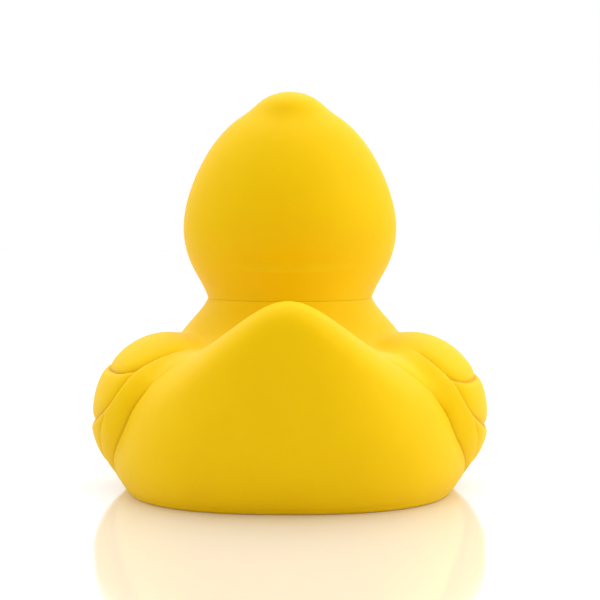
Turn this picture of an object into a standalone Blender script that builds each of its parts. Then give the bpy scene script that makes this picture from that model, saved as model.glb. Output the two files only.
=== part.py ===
"""Floating chlorine dispenser in the shape of a bath duck.

Metres, +Z up. The duck stands on Z = 0 and faces -Y, and X = 0 is its plane of symmetry.
A tablet tube stands in the neck, under a head that lifts off, and its foot ends in a flow dial.
"""

import math

import bmesh
import bpy
import numpy as np
from mathutils import Matrix, Vector

MM = 0.001

# Driving dimensions
TABLET_RADIUS = 38 * MM
TABLET_HEIGHT = 25 * MM
TABLETS = 3
TUBE_BORE = 40 * MM
TUBE_WALL = 2 * MM
SKIN = 2.5 * MM
GAP = 0.3 * MM
NECK_Y = -30 * MM
NECK_Z = 112.8 * MM
NECK_HOLE = 43 * MM
NECK_RADIUS = 49.5 * MM
BELLY_CENTRE = (0, 10 * MM, 45 * MM)
HEAD_CENTRE = (0, -36 * MM, 160 * MM)
BILL_TIP = 127.22 * MM
MOUTH_Z = 157 * MM
MOUTH_SIDE = {"bill_upper": 1, "bill_lower": -1}

# The underside, as heights above the foot and insets from the belly's outline
OUTLINE_Z = 3 * MM
FOOT_INSETS = (3 * MM, 8 * MM)
LEDGE_INSET = 15.5 * MM
LEDGE_Z = (6 * MM, 12.5 * MM)
PAN_Z = (1.5 * MM, 4 * MM)
PAN_INSET = 8.6 * MM
SCREW_INSET = 12.2 * MM
SCREWS = 8
WELL_RADIUS = 49.5 * MM
WELL_WALL = 2 * MM
WELL_CEILING = (15 * MM, 17.5 * MM)

# The tube's foot
TUBE_FOOT = 8.5 * MM
LIP_Z = (12.2 * MM, 14 * MM)
LIP_RADIUS = 36.5 * MM
WINDOWS = 6
WINDOW_RADII = (15 * MM, 33 * MM)
WINDOW_DEGREES = 28

# The head's neck
LEDGE_RADIUS = 40 * MM
SOCKET_RADIUS = 47.6 * MM
HEAD_LEDGE_Z = (120 * MM, 127 * MM)
HEAD_SCREWS = 3
HEAD_SCREW_RADIUS = 43.2 * MM

# How finely shells are lofted and profiles are turned
COLUMNS = 40
BELLY_ROWS = 20
HEAD_ROWS = 12
INNER_ROWS = 7
STEPS = 36


# ---- The duck's form, as fields that are negative inside and nearly distances ----


def ellipsoid(p, centre, radii):
    q = p - np.array(centre)
    near = np.linalg.norm(q / np.array(radii), axis=-1)
    slope = np.linalg.norm(q / np.array(radii) ** 2, axis=-1)
    return near * (near - 1) / np.maximum(slope, 1e-9)


def blend(a, b, width):
    """Union of two fields with a soft fillet."""
    h = np.clip(0.5 + 0.5 * (b - a) / width, 0, 1)
    return b * (1 - h) + a * h - width * h * (1 - h)


def ease(v, low, high):
    t = np.clip((v - low) / (high - low), 0, 1)
    return t * t * (3 - 2 * t)


def mirrored(p):
    return np.stack([np.abs(p[..., 0]), p[..., 1], p[..., 2]], -1)


def hull(p):
    """Belly and tail below the back: plan sections that are half superellipses, fore and aft."""
    x, y, z = np.abs(p[..., 0]), p[..., 1], p[..., 2]
    over = np.maximum(z - 0.020, 0) / 0.098
    under = np.maximum(0.020 - z, 0) / 0.020
    wide = np.maximum(0.104 - 0.057 * over**1.54 - 0.008 * under**2, 0.020)
    rear = 0.101 + 0.027 * (1 - np.exp(-np.maximum(z, 0) / 0.028))
    fore = 0.098 + 0.008 * ease(z, 0, 0.030) - 0.006 * over**2
    reach = np.where(y > 0, rear, fore)
    power = np.where(y > 0, 2.4, 2.15)
    size = ((x / wide) ** power + (np.abs(y) / reach) ** power) ** (1 / power)
    return (size - 1) * 0.085


def neck_distance(m):
    return np.hypot(m[..., 0], m[..., 1] - NECK_Y)


def tail_ridge(x):
    """Height of the tail's ridge, which falls off to both sides from a rounded tip."""
    return 0.118 - 0.84 * (np.hypot(x, 0.020) - 0.020)


def belly_field(p):
    m = mirrored(p)
    x, y, z = m[..., 0], m[..., 1], m[..., 2]
    aft = ease(y, 0, 0.118)
    back = 0.083 * (1 - aft) + tail_ridge(x) * aft + 0.008 * ease(-y, -0.050, 0.060)
    form = -blend(-hull(m), (back - z) / 1.25, 0.014)
    neck = np.maximum(neck_distance(m) - NECK_RADIUS, z - 0.150)
    form = blend(form, neck, 0.027)
    form = blend(form, ellipsoid(m, (0, -0.062, 0.060), (0.074, 0.052, 0.052)), 0.030)
    # The wing leans in a little towards its top
    leaning = np.stack([x + 0.055 * (z - 0.048), y, z], -1)
    wing = ellipsoid(leaning, (0.0775, -0.010, 0.0460), (0.0425, 0.069, 0.0470))
    return blend(form, wing, 0.005)


def head_field(p):
    m = mirrored(p)
    cheeks = ellipsoid(m, (0, -0.038, 0.1565), (0.0665, 0.064, 0.060))
    crown = ellipsoid(m, (0, -0.036, 0.188), (0.0485, 0.052, 0.047))
    form = blend(cheeks, crown, 0.022)
    tuft = ellipsoid(m, (0, -0.032, 0.2290), (0.0165, 0.021, 0.0105))
    form = blend(form, tuft, 0.013)
    neck = np.maximum(neck_distance(m) - NECK_RADIUS, np.abs(m[..., 2] - 0.116) - 0.012)
    return blend(form, neck, 0.010)


def reach_surface(field, centre, ways, level=0.0, far=0.2):
    """The point along each way from the centre where the field reaches the level."""
    centre = np.array(centre, float)
    ways = ways / np.linalg.norm(ways, axis=-1, keepdims=True)
    low, high = np.zeros(ways.shape[:-1]), np.full(ways.shape[:-1], far)
    for _ in range(40):
        middle = (low + high) / 2
        inside = field(centre + ways * middle[..., None]) < level
        low, high = np.where(inside, middle, low), np.where(inside, high, middle)
    return centre + ways * low[..., None]


def plan_ways(count=COLUMNS):
    turn = np.arange(count) * 2 * math.pi / count
    return np.stack([np.cos(turn), np.sin(turn), 0 * turn], -1)


def circle(radius, z, count=COLUMNS):
    return plan_ways(count) * radius + np.array([0, NECK_Y, z])


def field_ring(field, z, level=0.0, centre_y=NECK_Y):
    """The field's outline at one height, around a point on X = 0."""
    return reach_surface(field, (0, centre_y, z), plan_ways(), level)


def between(field, centre, first, last, rows, level=0.0):
    """Rings on the field's surface, fanned from the first ring to the last as seen from the centre."""
    a, b = first - np.array(centre), last - np.array(centre)
    a /= np.linalg.norm(a, axis=-1, keepdims=True)
    b /= np.linalg.norm(b, axis=-1, keepdims=True)
    angle = np.arccos(np.clip((a * b).sum(-1, keepdims=True), -1, 1))
    rings = []
    for row in range(1, rows):
        t = row / rows
        way = np.sin((1 - t) * angle) * a + np.sin(t * angle) * b
        rings.append(reach_surface(field, centre, way, level))
    return rings


# ---- Blender helpers ----


def clear_scene():
    for item in list(bpy.data.objects):
        bpy.data.objects.remove(item)


def new_collection(name):
    made = bpy.data.collections.new(name)
    bpy.context.scene.collection.children.link(made)
    return made


def material(name, colour, roughness, metallic=0.0):
    made = bpy.data.materials.new(name)
    made.use_nodes = True
    shader = made.node_tree.nodes["Principled BSDF"]
    shader.inputs["Base Color"].default_value = (*colour, 1)
    shader.inputs["Roughness"].default_value = roughness
    shader.inputs["Metallic"].default_value = metallic
    return made


def add_object(name, mesh, look=None, place=None):
    """A part when it has a look, and otherwise a helper that only cuts or joins."""
    item = bpy.data.objects.new(name, mesh)
    if place is not None:
        item.matrix_world = place
    if look is None:
        cutters.objects.link(item)
        item.hide_render = True
        item.display_type = "WIRE"
    else:
        parts.objects.link(item)
        mesh.materials.append(look)
    return item


def smooth(mesh, degrees=35):
    mesh.shade_smooth()
    mesh.set_sharp_from_angle(angle=math.radians(degrees))


def mesh_from(name, bm):
    mesh = bpy.data.meshes.new(name)
    bm.to_mesh(mesh)
    bm.free()
    return mesh


def loft(name, rings, look=None, poles=None):
    """A closed skin over rings of points. It ends in two poles, or joins its last ring to its first."""
    bm = bmesh.new()
    rows = [[bm.verts.new(point) for point in ring] for ring in rings]
    joined = rows + ([] if poles else rows[:1])
    for upper, lower in zip(joined, joined[1:]):
        for i in range(len(upper)):
            j = (i + 1) % len(upper)
            bm.faces.new((upper[i], lower[i], lower[j], upper[j]))
    if poles:
        for point, ring, flip in ((poles[0], rows[0], False), (poles[1], rows[-1], True)):
            tip = bm.verts.new(point)
            for i in range(len(ring)):
                pair = (ring[i], ring[(i + 1) % len(ring)])
                bm.faces.new((tip, *(reversed(pair) if flip else pair)))
    bmesh.ops.recalc_face_normals(bm, faces=bm.faces)
    mesh = mesh_from(name, bm)
    smooth(mesh)
    return add_object(name, mesh, look)


def turned(name, profile, look=None, steps=STEPS, place=None):
    """A profile of (radius, height) turned about Z. It is closed unless it starts and ends on the axis."""
    mesh = bpy.data.meshes.new(name)
    points = [(radius, 0, height) for radius, height in profile]
    edges = [(i, i + 1) for i in range(len(points) - 1)]
    if profile[0][0] > 0:
        edges.append((len(points) - 1, 0))
    mesh.from_pydata(points, edges, [])
    if place is None:
        place = Matrix.Translation((0, NECK_Y, 0))
    item = add_object(name, mesh, look, place)
    screw = item.modifiers.new("Turn", "SCREW")
    screw.steps = screw.render_steps = steps
    screw.use_merge_vertices = True
    screw.merge_threshold = 0.00001
    screw.use_smooth_shade = False
    return item


def ring_profile(inner, outer, bottom, top):
    return [(outer, top), (outer, bottom), (inner, bottom), (inner, top)]


def cylinders(name, places, radius, low, high, far_radius=None, sides=8):
    """One helper of upright cylinders, or of cones where the upper radius differs."""
    bm = bmesh.new()
    top_radius = radius if far_radius is None else far_radius
    for x, y in places:
        bmesh.ops.create_cone(
            bm,
            cap_ends=True,
            segments=sides,
            radius1=radius,
            radius2=top_radius,
            depth=high - low,
            matrix=Matrix.Translation((x, y, (low + high) / 2)),
        )
    return add_object(name, mesh_from(name, bm))


def rod(name, place, radius, low, high, sides=16):
    """A helper cylinder along the Z axis of a place."""
    bm = bmesh.new()
    shift = Matrix.Translation((0, 0, (low + high) / 2))
    bmesh.ops.create_cone(
        bm, cap_ends=True, segments=sides, radius1=radius, radius2=radius, depth=high - low, matrix=shift
    )
    return add_object(name, mesh_from(name, bm), place=place)


def ball(name, place, radii, look=None, segments=24):
    """An ellipsoid from a UV sphere, with its scale in its mesh."""
    bm = bmesh.new()
    bmesh.ops.create_uvsphere(bm, u_segments=segments, v_segments=segments // 2, radius=1)
    bmesh.ops.scale(bm, vec=radii, verts=bm.verts)
    mesh = mesh_from(name, bm)
    mesh.shade_smooth()
    return add_object(name, mesh, look, place)


def boolean(item, other, operation="DIFFERENCE"):
    made = item.modifiers.new(f"{operation.title()} {other.name}", "BOOLEAN")
    made.object = other
    made.operation = operation
    return item


def facing(field, point):
    """A place at a point of the surface, with its Z axis along the outward normal and X level."""
    step = 0.0002
    slope = [field(point + step * axis) - field(point - step * axis) for axis in np.eye(3)]
    normal = Vector([float(s) for s in slope]).normalized()
    across = Vector((0, 0, 1)).cross(normal).normalized()
    up = normal.cross(across)
    turn = Matrix((across, up, normal)).transposed().to_4x4()
    return Matrix.Translation(Vector(point.tolist())) @ turn


# ---- Outline of the underside ----


def outline(inset, z):
    """The belly's outline just above the foot, moved in and set at a height."""
    edge = field_ring(belly_field, OUTLINE_Z, centre_y=BELLY_CENTRE[1])
    return edge - plan_ways() * inset + np.array([0, 0, z - OUTLINE_Z])


def screw_places():
    turn = (np.arange(SCREWS) + 0.5) * 2 * math.pi / SCREWS
    ways = np.stack([np.cos(turn), np.sin(turn), 0 * turn], -1)
    edge = reach_surface(belly_field, (0, BELLY_CENTRE[1], OUTLINE_Z), ways)
    return [tuple(point[:2]) for point in edge - ways * SCREW_INSET]


def head_screw_places():
    turns = [math.radians(90 + 360 * i / HEAD_SCREWS) for i in range(HEAD_SCREWS)]
    return [(HEAD_SCREW_RADIUS * math.cos(t), NECK_Y + HEAD_SCREW_RADIUS * math.sin(t)) for t in turns]


# ---- The two shells ----


def ridge_ring():
    """The ring that follows the tail's ridge aft, and the shoulders' height forward."""
    ways = plan_ways()
    middle = np.tile(BELLY_CENTRE, (COLUMNS, 1))
    shoulders = 0.046 + 0.020 * np.maximum(-ways[:, 1], 0)
    for _ in range(20):
        edge = reach_surface(hull, middle, ways)
        middle[:, 2] = np.where(ways[:, 1] > 0.05, tail_ridge(edge[:, 0]), shoulders)
    return reach_surface(belly_field, BELLY_CENTRE, edge - np.array(BELLY_CENTRE))


def belly_rings():
    """One skin outside and one inside, joined by the foot below and by the neck's ledge above."""
    low_outer = outline(0, OUTLINE_Z)
    top_outer = field_ring(belly_field, NECK_Z - 0.8 * MM)
    low_inner = field_ring(belly_field, LEDGE_Z[1] + 1 * MM, -SKIN, BELLY_CENTRE[1])
    top_inner = field_ring(belly_field, NECK_Z - SKIN - 0.8 * MM, -SKIN)
    rim = top_outer + np.array([0, 0, 0.8 * MM]) - plan_ways() * 0.8 * MM
    outside = [outline(FOOT_INSETS[0], 0), outline(1.1 * MM, 0.8 * MM), low_outer]
    ridge = ridge_ring()
    outside += between(belly_field, BELLY_CENTRE, low_outer, ridge, BELLY_ROWS // 2) + [ridge]
    outside += between(belly_field, BELLY_CENTRE, ridge, top_outer, BELLY_ROWS // 2)
    neck = [top_outer, rim, circle(NECK_HOLE, NECK_Z), circle(NECK_HOLE, NECK_Z - SKIN)]
    neck.append(circle(NECK_HOLE + 4 * MM, NECK_Z - SKIN))
    inside = [top_inner]
    inside += between(belly_field, BELLY_CENTRE, top_inner, low_inner, INNER_ROWS, -SKIN)
    ledge = [low_inner, outline(LEDGE_INSET, LEDGE_Z[1]), outline(LEDGE_INSET, LEDGE_Z[0])]
    foot = [outline(FOOT_INSETS[1], LEDGE_Z[0]), outline(FOOT_INSETS[1], 0)]
    return outside + neck + inside + ledge + foot


def head_rings():
    """The head's rings from the outer pole down, over the neck's rim, and up inside to the inner pole."""
    rim_z = NECK_Z + GAP
    low_outer = field_ring(head_field, rim_z + 0.8 * MM)
    low_inner = field_ring(head_field, HEAD_LEDGE_Z[1] + 1 * MM, -SKIN)
    rim = low_outer - np.array([0, 0, 0.8 * MM]) - plan_ways() * 0.8 * MM
    pole = np.array([[0.0, HEAD_CENTRE[1], 0.3]]).repeat(COLUMNS, 0)
    outside = between(head_field, HEAD_CENTRE, pole, low_outer, HEAD_ROWS) + [low_outer, rim]
    socket = [circle(SOCKET_RADIUS, rim_z), circle(SOCKET_RADIUS, HEAD_LEDGE_Z[0])]
    ledge = [circle(LEDGE_RADIUS, z) for z in HEAD_LEDGE_Z]
    inside = [low_inner] + between(head_field, HEAD_CENTRE, low_inner, pole, INNER_ROWS, -SKIN)
    return outside, socket + ledge + inside


def head_pole(level):
    up = np.array([[0.0, 0.0, 1.0]])
    return reach_surface(head_field, HEAD_CENTRE, up, level)[0]


def build_body_shell(look):
    shell = loft("body_shell", belly_rings(), look)
    return boolean(shell, base_screw_holes)


def build_head_shell(look):
    outside, inside = head_rings()
    shell = loft("head_shell", outside + inside, look, poles=(head_pole(0), head_pole(-SKIN)))
    boolean(shell, head_screw_holes)
    for name, place, radius in (
        ("upper_bill_hole", UPPER_PEG, 6.3 * MM),
        ("lower_bill_hole", LOWER_PEG, 4.3 * MM),
        ("left_eye_hole", EYES["left"], 3.3 * MM),
        ("right_eye_hole", EYES["right"], 3.3 * MM),
    ):
        boolean(shell, rod(name, place, radius, -9 * MM, 6 * MM))
    return shell


def build_head_clearance():
    """The head's outer form and a gap: whatever sits on the head is cut back to it."""
    rim_z = NECK_Z + GAP
    low = field_ring(head_field, rim_z + 0.8 * MM, GAP)
    pole = np.array([[0.0, HEAD_CENTRE[1], 0.3]]).repeat(COLUMNS, 0)
    rings = between(head_field, HEAD_CENTRE, pole, low, HEAD_ROWS, GAP) + [low]
    return loft("head_clearance", rings, poles=(head_pole(GAP), (0, NECK_Y, rim_z)))


# ---- Bill and eyes ----


def forward(z, y):
    """A place that looks forward, with its Z axis along -Y."""
    return Matrix.Translation((0, y, z)) @ Matrix.Rotation(math.radians(90), 4, "X")


def build_bill(name, peg, radii, reach, peg_radius, look):
    """A half of the bill, flat along the mouth. Its peg goes through the head's skin."""
    centre = (0, radii[1] - reach, MOUTH_Z + MOUTH_SIDE[name] * 5.5 * MM)
    half = ball(name, Matrix.Translation(centre), radii, look)
    boolean(half, head_clearance)
    bm = bmesh.new()
    size = Matrix.Diagonal((90 * MM, 90 * MM, 30 * MM, 1))
    middle = (0, -reach, MOUTH_Z - MOUTH_SIDE[name] * (15 - 0.4) * MM)
    bmesh.ops.create_cube(bm, size=1, matrix=Matrix.Translation(middle) @ size)
    boolean(half, add_object(f"{name}_mouth", mesh_from(f"{name}_mouth", bm)))
    return boolean(half, rod(f"{name}_peg", peg, peg_radius, -7 * MM, 8 * MM), "UNION")


def build_eye(side, white, black):
    place = EYES[side]
    eye = ball(f"eye_white_{side}", place, (12 * MM, 13.5 * MM, 4 * MM), white, segments=20)
    boolean(eye, head_clearance)
    boolean(eye, rod(f"eye_{side}_peg", place, 3 * MM, -6 * MM, 1.2 * MM, sides=12), "UNION")
    boolean(eye, rod(f"pupil_{side}_pocket", place, 7.6 * MM, 1.8 * MM, 7 * MM))
    dome = [(7.2 * MM * math.sin(t), (3.2 + 1.8 * math.cos(t)) * MM) for t in np.linspace(0, math.pi / 2, 5)]
    profile = dome + [(7.2 * MM, 2.1 * MM), (0, 2.1 * MM)]
    turned(f"eye_pupil_{side}", profile, black, steps=20, place=place)


# ---- Underside and float chamber ----


def build_base_gasket(look):
    low, high = PAN_Z[1] + GAP, LEDGE_Z[0] - GAP
    insets = (PAN_INSET + GAP, LEDGE_INSET - 0.5 * MM)
    rings = [outline(insets[0], low), outline(insets[0], high), outline(insets[1], high), outline(insets[1], low)]
    return boolean(loft("base_gasket", rings, look), base_screw_holes)


def build_base_pan(look):
    """The floor of the float chamber, with a well for the tube's foot and the dial."""
    wall = WELL_RADIUS + WELL_WALL
    hole = TUBE_BORE + TUBE_WALL + 0.4 * MM
    rings = [outline(PAN_INSET, PAN_Z[0]), outline(PAN_INSET, PAN_Z[1])]
    rings += [circle(wall, PAN_Z[1]), circle(wall, WELL_CEILING[1])]
    rings += [circle(hole, z) for z in reversed(WELL_CEILING)]
    rings += [circle(WELL_RADIUS, WELL_CEILING[0]), circle(WELL_RADIUS, PAN_Z[0])]
    pan = loft("base_pan", rings, look)
    boolean(pan, base_screw_holes)
    sink = cylinders("base_countersinks", screw_places(), 3.7 * MM, 0.5 * MM, 3.6 * MM, 1.6 * MM)
    return boolean(pan, sink)


def screw_profile(foot, tip):
    """A countersunk screw that points up."""
    shank, head = 1.3 * MM, 2.4 * MM
    side = [(shank, tip - 0.5 * MM), (shank, foot + 1.9 * MM), (head, foot + 0.5 * MM), (head, foot)]
    return [(0, tip)] + side + [(0, foot)]


def build_screws(name, places, foot, tip, look):
    for number, (x, y) in enumerate(places, 1):
        spot = Matrix.Translation((x, y, 0))
        turned(f"{name}_{number}", screw_profile(foot, tip), look, steps=10, place=spot)


def build_counterweight(look):
    """A flat sector behind the tube, which balances the head."""
    turns = np.radians(np.linspace(60, 120, 9))
    radii = (62 * MM, 106 * MM)
    arcs = [(r * math.cos(t), r * math.sin(t)) for r, ts in zip(radii, (turns, turns[::-1])) for t in ts]
    curve = bpy.data.curves.new("counterweight", "CURVE")
    curve.dimensions = "2D"
    curve.fill_mode = "BOTH"
    curve.extrude = 4 * MM
    spline = curve.splines.new("POLY")
    spline.points.add(len(arcs) - 1)
    for point, (x, y) in zip(spline.points, arcs):
        point.co = (x, y, 0, 1)
    spline.use_cyclic_u = True
    base = PAN_Z[1] + GAP + curve.extrude
    return add_object("counterweight", curve, look, Matrix.Translation((0, NECK_Y, base)))


# ---- Tablet tube and its foot ----


def build_tube(look):
    outer, flange = TUBE_BORE + TUBE_WALL, 47 * MM
    under, top = NECK_Z + 1.6 * MM, NECK_Z + 4.1 * MM
    profile = [(flange, top), (flange, under), (outer, under), (outer, TUBE_FOOT), (TUBE_BORE, TUBE_FOOT)]
    profile += [(TUBE_BORE, LIP_Z[0]), (LIP_RADIUS, LIP_Z[0]), (LIP_RADIUS, LIP_Z[1])]
    profile += [(TUBE_BORE, LIP_Z[1]), (TUBE_BORE, top)]
    turned("tablet_tube", profile, look)


def build_tube_seals(look):
    top = NECK_Z + GAP
    turned("tube_top_gasket", ring_profile(43.3 * MM, 46.7 * MM, top, top + 1 * MM), look)
    ceiling = WELL_CEILING[0] - GAP
    turned("tube_lower_seal", ring_profile(42.4 * MM, 47.5 * MM, ceiling - 1.4 * MM, ceiling), look)


def build_lock_ring(look):
    ring = turned("tube_lock_ring", ring_profile(42.4 * MM, 48.4 * MM, 8.8 * MM, 13 * MM), look)
    ways = plan_ways(6) * 49.5 * MM
    grips = cylinders("lock_ring_grips", [(x, y + NECK_Y) for x, y, _ in ways], 3.4 * MM, 7 * MM, 14 * MM)
    return boolean(ring, grips)


def window_cutter(name, low, high):
    """Sectors between two radii, which meet no rib."""
    bm = bmesh.new()
    half = math.radians(WINDOW_DEGREES / 2)
    for number in range(WINDOWS):
        middle = math.radians(30 + 360 * number / WINDOWS)
        turns = middle + np.linspace(-half, half, 5)
        corners = [(WINDOW_RADII[0], t) for t in turns[::-1]] + [(WINDOW_RADII[1], t) for t in turns]
        ring = [bm.verts.new((r * math.cos(t), r * math.sin(t), low)) for r, t in corners]
        face = bm.faces.new(ring)
        moved = bmesh.ops.extrude_face_region(bm, geom=[face])["geom"]
        upper = [item for item in moved if isinstance(item, bmesh.types.BMVert)]
        bmesh.ops.translate(bm, vec=(0, 0, high - low), verts=upper)
    bmesh.ops.recalc_face_normals(bm, faces=bm.faces)
    return add_object(name, mesh_from(name, bm), place=Matrix.Translation((0, NECK_Y, 0)))


def build_vent_grille(look):
    """The tube's floor: six windows round a hub that holds the dial's screw."""
    profile = [(0, 13.8 * MM), (7 * MM, 13.8 * MM), (7 * MM, 11.9 * MM), (39.7 * MM, 11.9 * MM)]
    profile += [(39.7 * MM, 9.4 * MM), (2.2 * MM, 9.4 * MM), (2.2 * MM, 13 * MM), (0, 13 * MM)]
    return boolean(turned("vent_grille", profile, look), window_cutter("grille_windows", 8 * MM, 13 * MM))


def build_dial(look):
    """A disc that turns under the grille, with a bar to grip and a sunk seat for its screw."""
    profile = [(7 * MM, 9.1 * MM), (7 * MM, 7.9 * MM), (38 * MM, 7.9 * MM), (38 * MM, 5.5 * MM)]
    profile += [(8.5 * MM, 5.5 * MM), (8.5 * MM, 1.2 * MM), (4.6 * MM, 1.2 * MM), (4.6 * MM, 4.9 * MM)]
    profile += [(2.4 * MM, 4.9 * MM), (2.4 * MM, 9.1 * MM)]
    dial = turned("flow_dial", profile, look)
    boolean(dial, window_cutter("dial_windows", 4 * MM, 9 * MM))
    bm = bmesh.new()
    for side in (-1, 1):
        spot = Matrix.Translation((side * 21.5 * MM, 0, 3.6 * MM))
        size = Matrix.Diagonal((30 * MM, 7 * MM, 4.8 * MM, 1))
        bmesh.ops.create_cube(bm, size=1, matrix=spot @ size)
    bar = add_object("dial_bar", mesh_from("dial_bar", bm), place=Matrix.Translation((0, NECK_Y, 0)))
    return boolean(dial, bar, "UNION")


def build_dial_fixings(seal, steel):
    turned("dial_washer", ring_profile(2.3 * MM, 4.2 * MM, 3.9 * MM, 4.6 * MM), seal, steps=20)
    profile = [(0, 12.7 * MM), (1.9 * MM, 12.2 * MM), (1.9 * MM, 3.6 * MM), (3.9 * MM, 3.6 * MM)]
    turned("dial_screw", profile + [(3.9 * MM, 1.9 * MM), (0, 1.9 * MM)], steel, steps=20)


def build_tablets(look):
    bm = bmesh.new()
    bmesh.ops.create_cone(
        bm, cap_ends=True, segments=STEPS, radius1=TABLET_RADIUS, radius2=TABLET_RADIUS, depth=TABLET_HEIGHT
    )
    mesh = mesh_from("tablet", bm)
    mesh.materials.append(look)
    for number in range(TABLETS):
        middle = LIP_Z[1] + GAP + TABLET_HEIGHT / 2 + number * (TABLET_HEIGHT + GAP)
        tablet = bpy.data.objects.new(f"tablet_{number + 1}", mesh)
        tablet.location = (0, NECK_Y, middle)
        parts.objects.link(tablet)
        edge = tablet.modifiers.new("Edge", "BEVEL")
        edge.width = 1.5 * MM
        edge.segments = 1


# ---- What closes the head ----


def build_head_plug(look):
    """A cup that stands in the tube's mouth and closes the head from below."""
    low = NECK_Z - 6.8 * MM
    flange_z = (NECK_Z + 4.5 * MM, HEAD_LEDGE_Z[0] - GAP)
    groove = (NECK_Z - 2.4 * MM, NECK_Z)
    profile = [(0, low + 2.4 * MM), (36.8 * MM, low + 2.4 * MM), (36.8 * MM, flange_z[1])]
    profile += [(46.8 * MM, flange_z[1]), (46.8 * MM, flange_z[0]), (39.2 * MM, flange_z[0])]
    profile += [(39.2 * MM, groove[1]), (38 * MM, groove[1]), (38 * MM, groove[0]), (39.2 * MM, groove[0])]
    profile += [(39.2 * MM, low + 0.8 * MM), (38.4 * MM, low), (0, low)]
    plug = turned("head_plug", profile, look)
    boolean(plug, head_screw_holes)
    foot = flange_z[0]
    sink = cylinders(
        "head_countersinks", head_screw_places(), 3.7 * MM, foot - 1 * MM, foot + 2.1 * MM, 1.6 * MM
    )
    return boolean(plug, sink)


def build_plug_ring(look):
    bpy.ops.mesh.primitive_torus_add(
        location=(0, NECK_Y, NECK_Z - 1.2 * MM),
        major_radius=39.05 * MM,
        minor_radius=0.72 * MM,
        major_segments=STEPS,
        minor_segments=6,
    )
    ring = bpy.context.object
    ring.name = "head_plug_ring"
    for owner in ring.users_collection:
        owner.objects.unlink(ring)
    parts.objects.link(ring)
    ring.data.shade_smooth()
    ring.data.materials.append(look)


clear_scene()
parts = new_collection("floating_chlorine_dispenser")
cutters = new_collection("cutters")

yellow = material("yellow_vinyl", (0.83, 0.52, 0.004), 0.45)
orange = material("orange_vinyl", (0.80, 0.16, 0.01), 0.45)
white_gloss = material("eye_white", (0.85, 0.85, 0.83), 0.2)
black_gloss = material("eye_black", (0.01, 0.01, 0.01), 0.15)
white_plastic = material("white_polypropylene", (0.75, 0.77, 0.78), 0.4)
blue_plastic = material("blue_polypropylene", (0.03, 0.20, 0.45), 0.4)
seal_rubber = material("seal_rubber", (0.03, 0.03, 0.03), 0.7)
steel = material("stainless_steel", (0.6, 0.6, 0.6), 0.3, 1.0)
zinc = material("cast_zinc", (0.35, 0.36, 0.37), 0.6, 1.0)
chlorine = material("pressed_chlorine", (0.82, 0.83, 0.80), 0.9)

UPPER_PEG = forward(166 * MM, -102 * MM)
LOWER_PEG = forward(150.5 * MM, -101 * MM)
EYES = {}
for side_name, side_sign in (("left", 1), ("right", -1)):
    glance = np.array([[side_sign * 0.46, -0.76, 0.44]])
    EYES[side_name] = facing(head_field, reach_surface(head_field, HEAD_CENTRE, glance)[0])

base_screw_holes = cylinders("base_screw_holes", screw_places(), 1.7 * MM, 0, 11.2 * MM)
head_screw_holes = cylinders("head_screw_holes", head_screw_places(), 1.7 * MM, NECK_Z + 3 * MM, 125 * MM)
head_clearance = build_head_clearance()

build_body_shell(yellow)
build_head_shell(yellow)
build_bill("bill_upper", UPPER_PEG, (31 * MM, 32 * MM, 15 * MM), BILL_TIP, 6 * MM, orange)
build_bill("bill_lower", LOWER_PEG, (27 * MM, 28 * MM, 15 * MM), BILL_TIP - 4 * MM, 4 * MM, orange)
for side_name in EYES:
    build_eye(side_name, white_gloss, black_gloss)

build_base_gasket(seal_rubber)
build_base_pan(white_plastic)
build_screws("base_screw", screw_places(), 1.6 * MM, 10.8 * MM, steel)
build_counterweight(zinc)

build_tube(white_plastic)
build_tube_seals(seal_rubber)
build_lock_ring(white_plastic)
build_vent_grille(white_plastic)
build_dial(blue_plastic)
build_dial_fixings(seal_rubber, steel)
build_tablets(chlorine)

build_head_plug(white_plastic)
build_plug_ring(seal_rubber)
build_screws("head_screw", head_screw_places(), NECK_Z + 4.6 * MM, 124.6 * MM, steel)
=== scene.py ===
import math

import bmesh
import bpy
import numpy as np
from mathutils import Matrix, Vector, noise


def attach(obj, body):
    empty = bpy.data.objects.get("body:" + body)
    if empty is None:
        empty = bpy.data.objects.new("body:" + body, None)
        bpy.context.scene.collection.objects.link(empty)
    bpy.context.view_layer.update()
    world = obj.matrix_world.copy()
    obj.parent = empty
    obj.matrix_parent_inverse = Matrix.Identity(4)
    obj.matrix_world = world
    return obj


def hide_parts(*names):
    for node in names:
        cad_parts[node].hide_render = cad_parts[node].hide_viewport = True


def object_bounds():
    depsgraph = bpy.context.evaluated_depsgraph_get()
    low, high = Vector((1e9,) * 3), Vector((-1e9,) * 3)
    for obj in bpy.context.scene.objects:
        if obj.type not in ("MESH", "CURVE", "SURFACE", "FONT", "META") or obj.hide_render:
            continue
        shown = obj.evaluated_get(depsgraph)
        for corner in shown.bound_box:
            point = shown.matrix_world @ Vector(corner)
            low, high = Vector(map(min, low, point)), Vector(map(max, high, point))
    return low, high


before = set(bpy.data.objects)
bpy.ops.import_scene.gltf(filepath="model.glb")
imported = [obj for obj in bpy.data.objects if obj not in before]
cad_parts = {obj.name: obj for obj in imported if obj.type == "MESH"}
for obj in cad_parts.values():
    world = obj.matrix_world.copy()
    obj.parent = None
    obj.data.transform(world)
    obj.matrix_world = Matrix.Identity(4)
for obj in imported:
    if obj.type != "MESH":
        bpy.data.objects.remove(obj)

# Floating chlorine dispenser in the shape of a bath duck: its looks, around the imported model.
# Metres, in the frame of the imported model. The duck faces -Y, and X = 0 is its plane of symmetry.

MM = 0.001
cad_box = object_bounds()

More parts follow.
